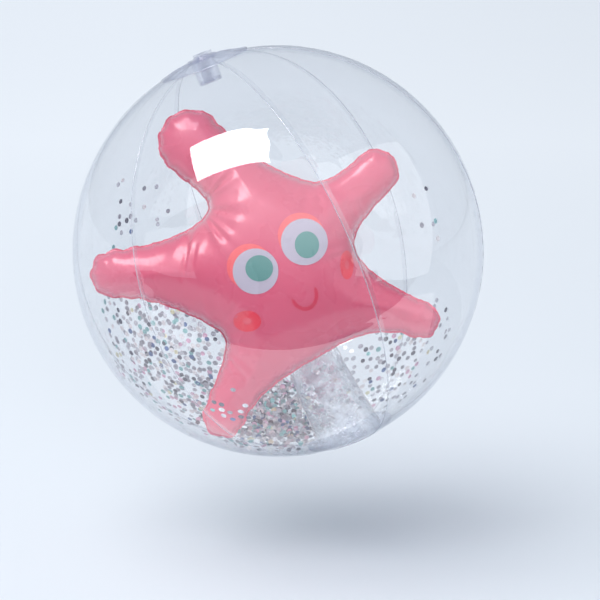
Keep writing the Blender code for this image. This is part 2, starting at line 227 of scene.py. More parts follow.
def vinyl(name, low, high, roughness=0.28, coat=0.5, scale=9.0, bump=0.06, scatter=0.12):
    """Coloured opaque vinyl sheet with a slightly uneven colour and gloss."""
    n = Nodes(name)
    colour = n.ramp(n.noise(scale, 3.0), (0.25, low), (0.75, high))
    fine = n.noise(260.0, 3.0, 0.6)
    rough = n.ramp(n.noise(40.0, 3.0), (0.3, (roughness * 0.8,) * 3), (0.7, (roughness * 1.2,) * 3))
    shader = n.add("BsdfPrincipled", Base_Color=colour, Roughness=rough,
                   Coat_Weight=coat, Coat_Roughness=0.08, Subsurface_Weight=scatter,
                   Subsurface_Radius=(0.006, 0.003, 0.003), Normal=n.bump(fine, bump, 0.5 * MM))
    return n.done(shader.outputs[0])


def glitter_material(name, colour, metallic, roughness):
    n = Nodes(name)
    shade = n.ramp(n.noise(700.0, 1.0), (0.3, tuple(c * 0.7 for c in colour)),
                   (0.7, tuple(min(1.0, c * 1.2) for c in colour)))
    shader = n.add("BsdfPrincipled", Base_Color=shade, Metallic=metallic, Roughness=roughness)
    return n.done(shader.outputs[0])


FILM_MAT = clear_film("clear_ball_film", (0.940, 0.948, 0.960), (0.68, 0.72, 0.80), shine=0.10, ripple=0.015,
                      roughness=0.015)
BAND_MAT = clear_film("weld_band_film", (0.96, 0.965, 0.975), (0.70, 0.74, 0.81), shine=0.10, haze=0.04,
                      ripple=0.05)
BEAD_MAT = clear_film("weld_bead", (0.80, 0.82, 0.86), (0.50, 0.53, 0.60), shine=0.07, haze=0.25,
                      haze_colour=(0.9, 0.92, 0.95))
DISC_MAT = clear_film("pole_disc_film", (0.93, 0.94, 0.975), (0.50, 0.52, 0.72), shine=0.10, haze=0.05,
                      haze_colour=(0.74, 0.78, 0.90), ripple=0.25, ripple_scale=60.0)
VALVE_MAT = clear_film("valve_vinyl", (0.955, 0.96, 0.98), (0.28, 0.29, 0.50), shine=0.09, haze=0.03,
                       haze_colour=(0.80, 0.82, 0.92), roughness=0.06)
SLEEVE_MAT = clear_film("sleeve_film", (0.93, 0.94, 0.955), (0.72, 0.74, 0.80), shine=0.16, haze=0.31,
                        haze_colour=(0.66, 0.75, 0.82), roughness=0.16, ripple=1.0, ripple_scale=95.0,
                        mottle=0.8)
SLEEVE_WELD_MAT = clear_film("sleeve_weld", (0.90, 0.91, 0.94), (0.70, 0.72, 0.78), shine=0.2, haze=0.6,
                             haze_colour=(0.97, 0.98, 1.0))
PINK = vinyl("pink_vinyl", (0.745, 0.100, 0.185), (0.80, 0.122, 0.215))
EYE_WHITE = vinyl("eye_white_print", (0.53, 0.47, 0.56), (0.57, 0.51, 0.60), scatter=0.05)
PUPIL = vinyl("pupil_teal_print", (0.115, 0.305, 0.28), (0.14, 0.34, 0.31), scatter=0.02)
LID = vinyl("lid_coral_print", (0.97, 0.13, 0.14), (1.0, 0.16, 0.17), scatter=0.05)
CHEEK = vinyl("cheek_print", (0.84, 0.08, 0.12), (0.90, 0.10, 0.15), scatter=0.05)
CHEEK_RING = vinyl("cheek_ring_print", (0.86, 0.035, 0.07), (0.92, 0.05, 0.09), scatter=0.05)
SMILE = vinyl("smile_print", (0.70, 0.03, 0.08), (0.76, 0.04, 0.10), scatter=0.05)
FLAKES = (                     # share, name, colour, how metallic, roughness
    (0.34, "silver", (0.70, 0.72, 0.77), 0.6, 0.22),
    (0.20, "grey", (0.38, 0.38, 0.44), 0.5, 0.3),
    (0.10, "dark", (0.15, 0.15, 0.20), 0.6, 0.25),
    (0.12, "teal", (0.30, 0.60, 0.60), 0.45, 0.25),
    (0.08, "pink", (0.80, 0.50, 0.66), 0.45, 0.25),
    (0.03, "yellow", (0.93, 0.92, 0.60), 0.4, 0.25),
    (0.05, "blue", (0.12, 0.20, 0.42), 0.6, 0.25),
    (0.13, "white", (0.98, 0.99, 1.0), 0.3, 0.2),
)
GLITTER = [(share, glitter_material("flake_" + name, *look)) for share, name, *look in FLAKES]


# Meshes

def linked(name, data):
    """A new object in the scene."""
    obj = bpy.data.objects.new(name, data)
    bpy.context.scene.collection.objects.link(obj)
    return obj


def mesh_of(name, points, faces):
    mesh = bpy.data.meshes.new(name)
    mesh.from_pydata([tuple(p) for p in points], [], faces)
    return mesh


def add(name, points, faces, materials, body, slot=None, stands_for=(), face_materials=None, matrix=None,
        smooth=True):
    """A piece of the object. It rides on a body, unless that is None. materials may be a list."""
    if matrix is not None:
        points = [matrix @ Vector(p) for p in points]
    mesh = mesh_of(name, points, faces)
    for m in materials if isinstance(materials, list) else [materials]:
        mesh.materials.append(m)
    if face_materials is not None:
        mesh.polygons.foreach_set("material_index", face_materials)
    if smooth:
        mesh.shade_smooth()
    mesh.update()
    obj = linked(name, mesh)
    if body:
        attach(obj, body)
    if stands_for:
        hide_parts(*stands_for)
    return obj


def clean(obj):
    """Merges points that coincide and turns the faces of a closed piece outward."""
    work = bmesh.new()
    work.from_mesh(obj.data)
    bmesh.ops.remove_doubles(work, verts=work.verts, dist=1e-6)
    if all(e.is_manifold for e in work.edges):
        bmesh.ops.recalc_face_normals(work, faces=work.faces)
    work.to_mesh(obj.data)
    work.free()
    return obj


def grid_faces(rows, columns, wrap):
    last = columns if wrap else columns - 1
    return [(r * columns + c, r * columns + (c + 1) % columns,
             (r + 1) * columns + (c + 1) % columns, (r + 1) * columns + c)
            for r in range(rows - 1) for c in range(last)]


def loft_faces(loops, ring):
    count = len(loops[0])
    faces = grid_faces(len(loops), count, True)
    if ring:
        start = (len(loops) - 1) * count
        faces += [(start + i, start + (i + 1) % count, (i + 1) % count, i) for i in range(count)]
    else:
        end = len(loops) * count
        faces += [tuple(reversed(range(count))), tuple(range(end - count, end))]
    return faces


def circle(radius, height, segments=TURNS):
    turn = 2 * math.pi / segments
    return [(radius * math.cos(i * turn), radius * math.sin(i * turn), height) for i in range(segments)]


def soften(obj, width):
    """Rounds a moulded piece's edges."""
    bevel = obj.modifiers.new("soft_edges", "BEVEL")
    bevel.width = width
    bevel.segments = 2
    bevel.limit_method = "ANGLE"
    bevel.angle_limit = math.radians(40)
    obj.data.set_sharp_from_angle(angle=math.radians(40))


# Ball skin

def on_ball(polar, azimuth, radius):
    return (radius * math.sin(polar) * math.cos(azimuth),
            radius * math.sin(polar) * math.sin(azimuth),
            radius * math.cos(polar))


def skin_radius(polar, across):
    """Radius of the skin at a polar angle and at a share of the way across a gore."""
    pulled = (1 - math.sin(math.pi * across)) ** 2
    from_weld = min(across, 1 - across) * BALL_RADIUS * math.sin(polar) * 2 * math.pi / GORES
    near = from_weld / PUCKER_REACH
    along = polar * BALL_RADIUS
    wave = math.sin(along / (2.1 * MM) + 2.3 * math.sin(along / (17 * MM)))
    fold = PUCKER * near * math.exp(1 - near) * wave * math.sin(polar)
    return BALL_RADIUS - FILM / 2 - LOBE * pulled * math.sin(polar) + fold


def seam_polars(rows):
    near = math.asin(GORE_END / BALL_RADIUS)
    return [near + (math.pi - 2 * near) * i / (rows - 1) for i in range(rows)]


def make_gores():
    step = 2 * math.pi / GORES
    for k in range(GORES):
        points = []
        for polar in seam_polars(GORE_ROWS):
            for c in range(GORE_COLUMNS):
                across = 0.5 - 0.5 * math.cos(math.pi * c / (GORE_COLUMNS - 1))
                across = 0.5 * across + 0.5 * c / (GORE_COLUMNS - 1)
                azimuth = FIRST_SEAM + (k + across) * step
                points.append(on_ball(polar, azimuth, skin_radius(polar, across)))
        faces = grid_faces(GORE_ROWS, GORE_COLUMNS, False)
        add(f"gore_film_{k + 1}", points, faces, FILM_MAT, "root", "clear_film", [f"gore_{k + 1}"],
            matrix=POLES["top"])
        make_weld(k, FIRST_SEAM + k * step)


def make_weld(k, azimuth):
    """The lap weld along one seam: a flat band and the raised edge of the upper film."""
    band, bead = [], []
    for polar in seam_polars(GORE_ROWS):
        around = BALL_RADIUS * math.sin(polar)
        base = skin_radius(polar, 0.0) + FILM / 2
        for side in range(4):
            turn = azimuth + (side / 3) * WELD_WIDTH / around
            lift = (0.12 if side in (1, 2) else 0.02) * MM
            band.append(on_ball(polar, turn, base + lift))
        centre = Vector(on_ball(polar, azimuth, base))
        out = centre.normalized()
        wide = Vector((-math.sin(azimuth), math.cos(azimuth), 0))
        for i in range(8):
            a = 2 * math.pi * i / 8
            bead.append(centre + wide * BEAD * math.cos(a) + out * 0.6 * BEAD * math.sin(a))
    add(f"weld_band_{k + 1}", band, grid_faces(GORE_ROWS, 4, False), BAND_MAT, "root", "clear_film",
        matrix=POLES["top"])
    loops = [bead[i:i + 8] for i in range(0, len(bead), 8)]
    clean(add(f"weld_edge_{k + 1}", bead, loft_faces(loops, False), BEAD_MAT, "root", "clear_film",
              matrix=POLES["top"]))


# Discs and valves

def disc_height(radius):
    fall = max(0.0, 1 - radius / DISC_RADIUS)
    outer = BALL_RADIUS + GAP + FILM
    return math.sqrt(outer ** 2 - radius ** 2) + DISC_TENT * min(1.0, 1.5 * fall)


def make_disc(end):
    rings, columns = 22, 120
    points = []
    for i in range(rings):
        radius = DISC_RADIUS + (DISC_HOLE - DISC_RADIUS) * i / (rings - 1)
        for c in range(columns):
            turn = 2 * math.pi * c / columns
            slack = math.sin(math.pi * i / (rings - 1))
            fold = 0.30 * MM * slack * (math.sin(11 * turn) + 0.6 * math.sin(17 * turn + 1.3))
            points.append((radius * math.cos(turn), radius * math.sin(turn), disc_height(radius) + fold))
    disc = add(f"{end}_pole_disc", points, grid_faces(rings, columns, True), DISC_MAT, "root", "disc_film",
               [f"{end}_disc"], matrix=POLES[end])
    thick = disc.modifiers.new("film", "SOLIDIFY")
    thick.thickness = FILM
    thick.offset = -1
    rim = [[((DISC_RADIUS + 0.35 * MM * math.cos(a)) * math.cos(t),
             (DISC_RADIUS + 0.35 * MM * math.cos(a)) * math.sin(t),
             disc_height(DISC_RADIUS) - 0.1 * MM + 0.3 * MM * math.sin(a))
            for t in [2 * math.pi * c / columns for c in range(columns)]]
           for a in [2 * math.pi * i / 8 for i in range(8)]]
    clean(add(f"{end}_disc_weld", [p for loop in rim for p in loop], loft_faces(rim, True), BEAD_MAT, "root",
              "disc_film", matrix=POLES[end]))


def moulded(name, loops, ring, end, body, node, bevel=0.18 * MM):
    points = [p for loop in loops for p in loop]
    obj = clean(add(name, points, loft_faces(loops, ring), VALVE_MAT, body, "valve_vinyl", [node],
                    matrix=POLES[end]))
    soften(obj, bevel)
    return obj


def with_arm(radius, height, steps=52):
    """A round outline with a straight arm along +X that ends at the hinge."""
    side = ARM_WIDTH / 2
    root = math.asin(side / radius)
    loop = [(HINGE_REACH, -side), (HINGE_REACH, side), (radius * math.cos(root), side)]
    first = math.radians(22)
    for i in range(steps):
        angle = first + (2 * math.pi - 2 * first) * i / (steps - 1)
        loop.append((radius * math.cos(angle), radius * math.sin(angle)))
    loop.append((radius * math.cos(root), -side))
    return [(x, y, height) for x, y in loop]


def facing_arm(radius, height):
    """A circle whose points face those of with_arm."""
    angles = [math.atan2(y, x) for x, y, _ in with_arm(STRAP_RING, height)]
    return [(radius * math.cos(a), radius * math.sin(a), height) for a in angles]


def make_valve(end):
    r = BALL_RADIUS
    neck = STEM_RADIUS + GAP + 0.1 * MM
    inner = CUP_RADIUS - CUP_WALL
    floor_top = CUP_FLOOR + CUP_WALL
    profile = [
        (neck, FLANGE_TOP), (CUP_RADIUS, FLANGE_TOP), (CUP_RADIUS + 0.5 * MM, FLANGE_TOP - 0.25 * MM),
        (FLANGE_RADIUS - 0.6 * MM, FLANGE_TOP - 0.25 * MM), (FLANGE_RADIUS - 0.3 * MM, FLANGE_TOP),
        (FLANGE_RADIUS, FLANGE_TOP), (FLANGE_RADIUS, FLANGE_TOP - FLANGE_THICKNESS),
        (CUP_RADIUS, FLANGE_TOP - FLANGE_THICKNESS), (CUP_RADIUS - CUP_TAPER, CUP_FLOOR),
        (CUP_FLOOR_HOLE, CUP_FLOOR), (CUP_FLOOR_HOLE, floor_top), (inner - CUP_TAPER, floor_top),
        (inner, FLANGE_TOP - CUP_WALL), (neck, FLANGE_TOP - CUP_WALL)]
    moulded(f"{end}_valve_cup", [circle(x, r + z) for x, z in profile], True, end, "root",
            f"{end}_valve_base")
    foot = floor_top + GAP
    shoulder = foot + FOOT_THICKNESS
    profile = [(STEM_BORE, STEM_TOP), (STEM_RADIUS, STEM_TOP), (STEM_RADIUS, shoulder),
               (FOOT_RADIUS, shoulder), (FOOT_RADIUS, foot), (STEM_BORE, foot)]
    moulded(f"{end}_valve_tube", [circle(x, r + z) for x, z in profile], True, end, f"{end}_stem",
            f"{end}_valve_stem")
    flap = [circle(FLAP_RADIUS, r + floor_top - FLAP_THICKNESS), circle(FLAP_RADIUS, r + floor_top)]
    moulded(f"{end}_check_flap", flap, False, end, f"{end}_flap", f"{end}_valve_flap", 0.12 * MM)
    low = r + FLANGE_TOP + GAP
    high = low + STRAP_THICKNESS
    ring = STEM_RADIUS + GAP
    moulded(f"{end}_cap_strap", [with_arm(STRAP_RING, high), with_arm(STRAP_RING, low), facing_arm(ring, low),
                                 facing_arm(ring, high)], True, end, f"{end}_stem", f"{end}_valve_strap")
    under = r + STEM_TOP + GAP
    top = under + CAP_THICKNESS
    moulded(f"{end}_stopper", [
        facing_arm(CAP_RADIUS * 0.55, top - 0.35 * MM), facing_arm(CAP_RADIUS * 0.72, top - 0.35 * MM),
        facing_arm(CAP_RADIUS * 0.8, top), with_arm(CAP_RADIUS, top), with_arm(CAP_RADIUS, under),
        facing_arm(PLUG_RADIUS, under), facing_arm(PLUG_TIP_RADIUS, under - PLUG_LENGTH)],
        False, end, f"{end}_cap", f"{end}_valve_cap")


# Star

STAR_PLANE = Matrix.Rotation(math.pi / 2 - STAR_LEAN, 4, "X")


def polar_point(degrees, distance):
    angle = math.radians(degrees)
    return STAR_CENTRE + distance * np.array([math.cos(angle), math.sin(angle)])


def pit_way(pit):
    """The outline's direction at an armpit: square to the line from the star's centre."""
    out = (pit - STAR_CENTRE) / np.linalg.norm(pit - STAR_CENTRE)
    return np.array([-out[1], out[0]])


def limb_side(start, end, start_way, end_way, steps):
    """Points of a smooth curve between an armpit and the arc of a tip."""
    reach = np.linalg.norm(end - start)
    points = []
    for i in range(steps):
        t = i / steps
        h = (2 * t ** 3 - 3 * t ** 2 + 1, t ** 3 - 2 * t ** 2 + t, 3 * t ** 2 - 2 * t ** 3, t ** 3 - t ** 2)
        points.append(h[0] * start + h[1] * reach * start_way + h[2] * end + h[3] * reach * end_way)
    return points


def star_outline(side_steps, tip_steps):
    pits = [(polar_point(a, d * MM), breadth) for a, d, breadth in STAR_PITS]
    points = []
    for k, (degrees, reach, tip) in enumerate(STAR_ARMS):
        tip *= MM
        middle = polar_point(degrees, reach * MM - tip)
        along = (middle - STAR_CENTRE) / np.linalg.norm(middle - STAR_CENTRE)
        across = np.array([-along[1], along[0]])
        (before, wide_before), (after, wide_after) = pits[k - 1], pits[k]
        points += limb_side(before, middle - across * tip, pit_way(before) * wide_before, along, side_steps)
        for i in range(tip_steps):
            turn = math.pi * i / tip_steps
            points.append(middle + tip * (-across * math.cos(turn) + along * math.sin(turn)))
        points += limb_side(middle + across * tip, after, -along, pit_way(after) * wide_after, side_steps)
    return np.array(points)


def evened(outline, count):
    """The closed outline again, with that many points an equal step apart."""
    closed = np.vstack([outline, outline[:1]])
    run = np.concatenate([[0], np.cumsum(np.linalg.norm(np.diff(closed, axis=0), axis=1))])
    ticks = np.linspace(0, run[-1], count, endpoint=False)
    return np.stack([np.interp(ticks, run, closed[:, i]) for i in (0, 1)], 1)


def inward(outline):
    ahead = np.roll(outline, -1, 0) - np.roll(outline, 1, 0)
    ahead /= np.linalg.norm(ahead, axis=1)[:, None]
    return np.stack([-ahead[:, 1], ahead[:, 0]], 1)


def is_inside(x, y, outline):
    inside = np.zeros(x.shape, bool)
    for (x0, y0), (x1, y1) in zip(outline, np.roll(outline, -1, 0)):
        if y0 != y1:
            inside ^= ((y0 > y) != (y1 > y)) & (x < x0 + (y - y0) * (x1 - x0) / (y1 - y0))
    return inside


class HeightField:
    """Half thickness of the star: a film held flat at its edge and pushed out evenly by the air."""

    def __init__(self, outline):
        self.ticks = np.arange(-SPAN, SPAN + CELL / 2, CELL)
        x, y = np.meshgrid(self.ticks, self.ticks, indexing="ij")
        inside = is_inside(x, y, outline)
        push = np.where(inside, AIR_GUESS, 0.0)
        for _ in range(PASSES):
            near = np.roll(push, 1, 0) + np.roll(push, -1, 0) + np.roll(push, 1, 1) + np.roll(push, -1, 1)
            push = np.where(inside, (near + CELL ** 2) / 4, 0)
        self.push = push

    def at(self, points):
        """Half thickness at each (x, y)."""
        spot = (np.asarray(points) - self.ticks[0]) / CELL
        cell = np.floor(spot).astype(int)
        f = spot - cell
        i, j = cell[:, 0], cell[:, 1]
        low = self.push[i, j] * (1 - f[:, 1]) + self.push[i, j + 1] * f[:, 1]
        high = self.push[i + 1, j] * (1 - f[:, 1]) + self.push[i + 1, j + 1] * f[:, 1]
        return np.sqrt(2 * np.maximum(low * (1 - f[:, 0]) + high * f[:, 0], 0)) * STAR_FULLNESS


def film_net(rim):
    """A flat net of triangles over the star. The rim's points come first."""
    count = len(rim)
    grid = []
    for j, y in enumerate(np.arange(-SPAN, SPAN, NET_STEP * math.sqrt(0.75))):
        grid += [(x + NET_STEP / 2 * (j % 2), y) for x in np.arange(-SPAN, SPAN, NET_STEP)]
    grid = np.array(grid)
    inner = grid[is_inside(grid[:, 0], grid[:, 1], rim + inward(rim) * 0.6 * NET_STEP)]
    edges = [(i, (i + 1) % count) for i in range(count)]
    net = delaunay_2d_cdt([Vector(p) for p in np.vstack([rim, inner])], edges, [], 1, 1e-7)
    return np.array([tuple(p) for p in net[0]]), [tuple(face) for face in net[2]]


def blown_up(points, faces, growth):
    """The star's points after the air has filled it: a cloth under pressure, stopped early."""
    obj = linked("filling", mesh_of("filling", points, faces))
    group = obj.vertex_groups.new(name="spare_film")
    for i, weight in enumerate(growth):
        group.add([i], float(weight), "REPLACE")
    cloth = obj.modifiers.new("air", "CLOTH")
    film = cloth.settings
    film.quality, film.mass = 5, 0.05
    film.tension_stiffness = film.compression_stiffness = 30
    film.shear_stiffness, film.bending_stiffness = 12, 0.02
    film.tension_damping = film.compression_damping = film.shear_damping = 8
    film.use_pressure, film.uniform_pressure_force = True, PRESSURE
    film.vertex_group_shrink, film.shrink_min, film.shrink_max = "spare_film", 0.0, -RIM_GROWTH
    film.effector_weights.gravity = 0
    cloth.collision_settings.use_collision = False
    cloth.point_cache.frame_start, cloth.point_cache.frame_end = 1, SIM_FRAMES
    for step in range(1, SIM_FRAMES + 1):
        bpy.context.scene.frame_set(step)
    evaluated = obj.evaluated_get(bpy.context.evaluated_depsgraph_get())
    filled = np.array([tuple(v.co) for v in evaluated.to_mesh().vertices])
    bpy.data.objects.remove(obj)
    bpy.context.scene.frame_set(1)
    moved = (filled - points) * (IN_PLANE, IN_PLANE, 1)
    length = np.linalg.norm(moved, axis=1)
    return points + moved * np.minimum(1, SIM_CAP / np.maximum(length, 1e-9))[:, None]


def refined(points, faces):
    """The mesh once subdivided, as points, faces and normals. Faces keep their order."""
    obj = linked("refining", mesh_of("refining", points, faces))
    smooth = obj.modifiers.new("smooth", "SUBSURF")
    smooth.levels = smooth.render_levels = 1
    made = obj.evaluated_get(bpy.context.evaluated_depsgraph_get()).to_mesh()
    finer = np.array([tuple(v.co) for v in made.vertices])
    normals = np.array([tuple(v.normal) for v in made.vertices])
    sides = [tuple(p.vertices) for p in made.polygons]
    bpy.data.objects.remove(obj)
    return finer, sides, normals


def tip_share(flat):
    """0 over the star's body and 1 at the tips of its arms, where the weld puckers most."""
    return np.clip((np.linalg.norm(flat - STAR_CENTRE, axis=1) - TIP_START) / TIP_RISE, 0, 1)


def fold_heights(points, rim, run):
    """How far each point stands out of the film's smooth shape: pit fans, weld puckers and arm creases."""
    flat = points[:, :2]
    height = np.zeros(len(points))
    for (degrees, distance, _), size in zip(STAR_PITS, PIT_FOLDS):
        hub = polar_point(degrees, (distance + FAN_START) * MM)
        off = flat - hub
        away = np.linalg.norm(off, axis=1)
        angle = np.arctan2(off[:, 1], off[:, 0])
        fan = np.sin(15 * angle + 1.7 * np.sin(4 * angle + degrees)) * (0.6 + 0.4 * np.sin(7 * angle + 2))
        height += size * MM * fan * np.exp(-((away - FAN_REACH) / FAN_WIDTH) ** 2)
    for x, half, depth in CREASES:
        y = flat[:, 1] - STAR_CENTRE[1] - 1 * MM
        line = x * MM + 2.5 * MM * np.sin(y / (14 * MM))
        groove = np.exp(-((flat[:, 0] - line) / (2.0 * MM)) ** 2) - 0.6 * np.exp(
            -((flat[:, 0] - line - 4.5 * MM) / (2.6 * MM)) ** 2)
        height -= depth * MM * groove * np.exp(-(y / (half * MM)) ** 4)
    near = np.array([np.argmin(((rim - p) ** 2).sum(1)) for p in flat])
    gap = np.linalg.norm(rim[near] - flat, axis=1)
    height *= 1 - np.exp(-(gap / FAN_FADE) ** 2)
    wave = np.sin(2 * math.pi * run[near] / LOBE_LENGTH + 1.5 * np.sin(run[near] / (31 * MM)))
    at_tip = 0.12 + 0.88 * tip_share(flat)
    return height + STAR_PUCKER * at_tip * wave * np.exp(-gap / STAR_PUCKER_FADE) * (gap > 0.2 * MM)


def with_lip(points, faces, side):
    """The skin with the flat weld round it: two rows outward, scalloped where the film puckers."""
    work = bmesh.new()
    made = [work.verts.new(p) for p in points]
    for face in faces:
        work.faces.new([made[i] for i in face])
    start = next(v for v in made if v.is_boundary)
    loop, before = [start], None
    while True:
        ways = [e.other_vert(loop[-1]) for e in loop[-1].link_edges if e.is_boundary]
        step = ways[0] if ways[0] is not before else ways[1]
        if step is start:
            break
        before = loop[-1]
        loop.append(step)
    places = np.array([tuple(v.co) for v in loop])
    steps = np.linalg.norm(places - np.roll(places, 1, 0), axis=1)
    run = np.cumsum(steps)
    ahead = np.roll(places, -1, 0) - np.roll(places, 1, 0)
    out = np.column_stack([ahead[:, 1], -ahead[:, 0]])
    out /= np.linalg.norm(out, axis=1)[:, None]
    area = 0.5 * np.sum(places[:, 0] * np.roll(places[:, 1], -1) - places[:, 1] * np.roll(places[:, 0], -1))
    out *= 1 if area > 0 else -1
    lobe = np.abs(np.sin(math.pi * run / LOBE_LENGTH + 0.75 * np.sin(run / (31 * MM)))) ** 0.5
    far = tip_share(places[:, :2])
    row = loop
    for share in (0.5, 1.0):
        width = STAR_FLANGE * share * (1 + 0.7 * far - 1.3 * far * (1 - lobe))
        rise = side * 0.15 * MM + share * 0.7 * MM * far * np.cos(2 * math.pi * run / LOBE_LENGTH)
        fresh = [work.verts.new((*(p[:2] + o * w), p[2] + z))
                 for p, o, w, z in zip(places, out, width, rise)]
        for i in range(len(row)):
            j = (i + 1) % len(row)
            work.faces.new((row[i], row[j], fresh[j], fresh[i]))
        row = fresh
    bmesh.ops.recalc_face_normals(work, faces=work.faces)
    middle = max(work.faces, key=lambda f: side * f.calc_center_median().z)
    if middle.normal.z * side < 0:
        bmesh.ops.reverse_faces(work, faces=work.faces)
    work.verts.index_update()
    result = [tuple(v.co) for v in work.verts], [tuple(v.index for v in f.verts) for f in work.faces]
    work.free()
    return result


def make_star():
    edge = evened(star_outline(40, 24), 420)
    edge = edge + inward(edge) * STAR_FLANGE
    field = HeightField(edge)
    length = np.linalg.norm(edge - np.roll(edge, 1, 0), axis=1).sum()
    rim = evened(edge, int(length / NET_STEP))
    run = np.arange(len(rim)) * length / len(rim)
    flat, triangles = film_net(rim)
    height = field.at(flat)
    height[:len(rim)] = 0
    points = np.vstack([np.column_stack([flat, height]),
                        np.column_stack([flat[len(rim):], -height[len(rim):]])])
    shift = len(flat) - len(rim)
    behind = [tuple(i if i < len(rim) else i + shift for i in reversed(f)) for f in triangles]
    gap = np.array([np.linalg.norm(rim - p[:2], axis=1).min() for p in points])
    points = blown_up(points, triangles + behind, np.exp(-(gap / SPARE_REACH) ** 2))
    finer, sides, normals = refined(points, triangles + behind)
    finer = finer + normals * fold_heights(finer, rim, run)[:, None]
    half = len(sides) // 2
    skins = []
    for name, faces, side, node in (("star_front", sides[:half], 1, "star_front_skin"),
                                    ("star_back", sides[half:], -1, "star_back_skin")):
        used = sorted({i for f in faces for i in f})
        index = {old: new for new, old in enumerate(used)}
        lipped = with_lip([tuple(finer[i]) for i in used], [[index[i] for i in f] for f in faces], side)
        skin = add(name, *lipped, PINK, "star", "star_vinyl", [node], matrix=STAR_PLANE)
        skins.append(skin)
    return field, skins[0]


def surface_of(obj):
    work = bmesh.new()
    work.from_mesh(obj.data)
    tree = BVHTree.FromBMesh(work)
    work.free()
    return tree


def on_star(tree, x, y, lift):
    """The point of the star's front over (x, y) of its plane, raised along its normal."""
    ahead = (STAR_PLANE.to_3x3() @ Vector((0, 0, -1))).normalized()
    start = STAR_PLANE @ Vector((x, y, 0.12))
    hit, normal, _, _ = tree.ray_cast(start, ahead)
    if normal.dot(ahead) > 0:
        normal = -normal
    return hit + normal * lift


def print_patch(name, tree, outline, lift, material, hole=None, rings=7):
    """A printed shape that follows the star's front. outline and hole are functions of an angle."""
    points, columns = [], 56
    for i in range(rings + 1):
        for c in range(columns):
            turn = 2 * math.pi * c / columns
            outer = np.array(outline(turn))
            inner = np.array(hole(turn)) if hole else np.array(outline(None))
            x, y = STAR_CENTRE + (outer + (inner - outer) * i / rings) * MM
            points.append(on_star(tree, x, y, lift))
    patch = add(name, points, grid_faces(rings + 1, columns, True), material, "star", "star_vinyl")
    return clean(patch)


def ellipse(x, y, wide, high, tilt=0.0):
    """An outline in mm from the star's centre: the point at an angle, or its centre for None."""
    tilt = math.radians(tilt)

    def at(turn):
        if turn is None:
            return x, y
        a, b = wide * math.cos(turn), high * math.sin(turn)
        return x + a * math.cos(tilt) - b * math.sin(tilt), y + a * math.sin(tilt) + b * math.cos(tilt)
    return at


# In mm from the star's centre. An eye: its middle and radius, its lid's offset, its pupil's middle and half
# widths.
EYES = (("left", (-23.3, -8.6, 19.0), (-5.0, 4.0), (-20.2, -6.1, 11.5, 10.9)),
        ("right", (17.2, 16.0, 19.5), (-2.6, 5.0), (19.3, 13.5, 10.1, 11.2)))
CHEEKS = (("left", (-30.4, -50.1, 11.7, 8.8, 0)), ("right", (52.9, -3, 5.7, 12.2, 0)))
CHEEK_DOT = 0.32               # share of a cheek that its dot takes up
SMILE_MIDDLE, SMILE_WIDE, SMILE_HIGH, SMILE_TILT = np.array([16.4, -26.6]), 10.6, 13.4, 17
SMILE_FROM, SMILE_TO, SMILE_STEPS, SMILE_HALF = 188, 368, 28, 1.6
LOW_LIFT, SMILE_LIFT, EYE_LIFT, PUPIL_LIFT = 0.15 * MM, 0.25 * MM, 0.30 * MM, 0.45 * MM


def make_face(tree):
    """Plain discs for the eyes, rings for the cheeks and a curved line for the smile."""
    for side, eye, lid, pupil in EYES:
        x, y, size = eye
        print_patch(f"{side}_lid_print", tree, ellipse(x + lid[0], y + lid[1], size, size), LOW_LIFT, LID)
        print_patch(f"{side}_eye_print", tree, ellipse(x, y, size, size), EYE_LIFT, EYE_WHITE)
        print_patch(f"{side}_pupil_print", tree, ellipse(*pupil), PUPIL_LIFT, PUPIL)
    for side, cheek in CHEEKS:
        x, y, wide, high, tilt = cheek
        dot = ellipse(x, y, wide * CHEEK_DOT, high * CHEEK_DOT, tilt)
        print_patch(f"{side}_cheek_print", tree, ellipse(*cheek), LOW_LIFT, CHEEK_RING, hole=dot, rings=3)
        print_patch(f"{side}_cheek_dot_print", tree, dot, LOW_LIFT, CHEEK, rings=3)
    points = []
    line = ellipse(*SMILE_MIDDLE, SMILE_WIDE, SMILE_HIGH, SMILE_TILT)
    for i in range(SMILE_STEPS + 1):
        spot = np.array(line(math.radians(SMILE_FROM + (SMILE_TO - SMILE_FROM) * i / SMILE_STEPS)))
        side = (spot - SMILE_MIDDLE) / np.linalg.norm(spot - SMILE_MIDDLE)
        half = SMILE_HALF * math.sqrt(max(0.05, 1 - (2 * i / SMILE_STEPS - 1) ** 8))
        for s in (-1, 0, 1):
            x, y = STAR_CENTRE + (spot + side * half * s) * MM
            points.append(on_star(tree, x, y, SMILE_LIFT))
    add("smile_print", points, grid_faces(SMILE_STEPS + 1, 3, False), SMILE, "star", "star_vinyl")


# Sleeve

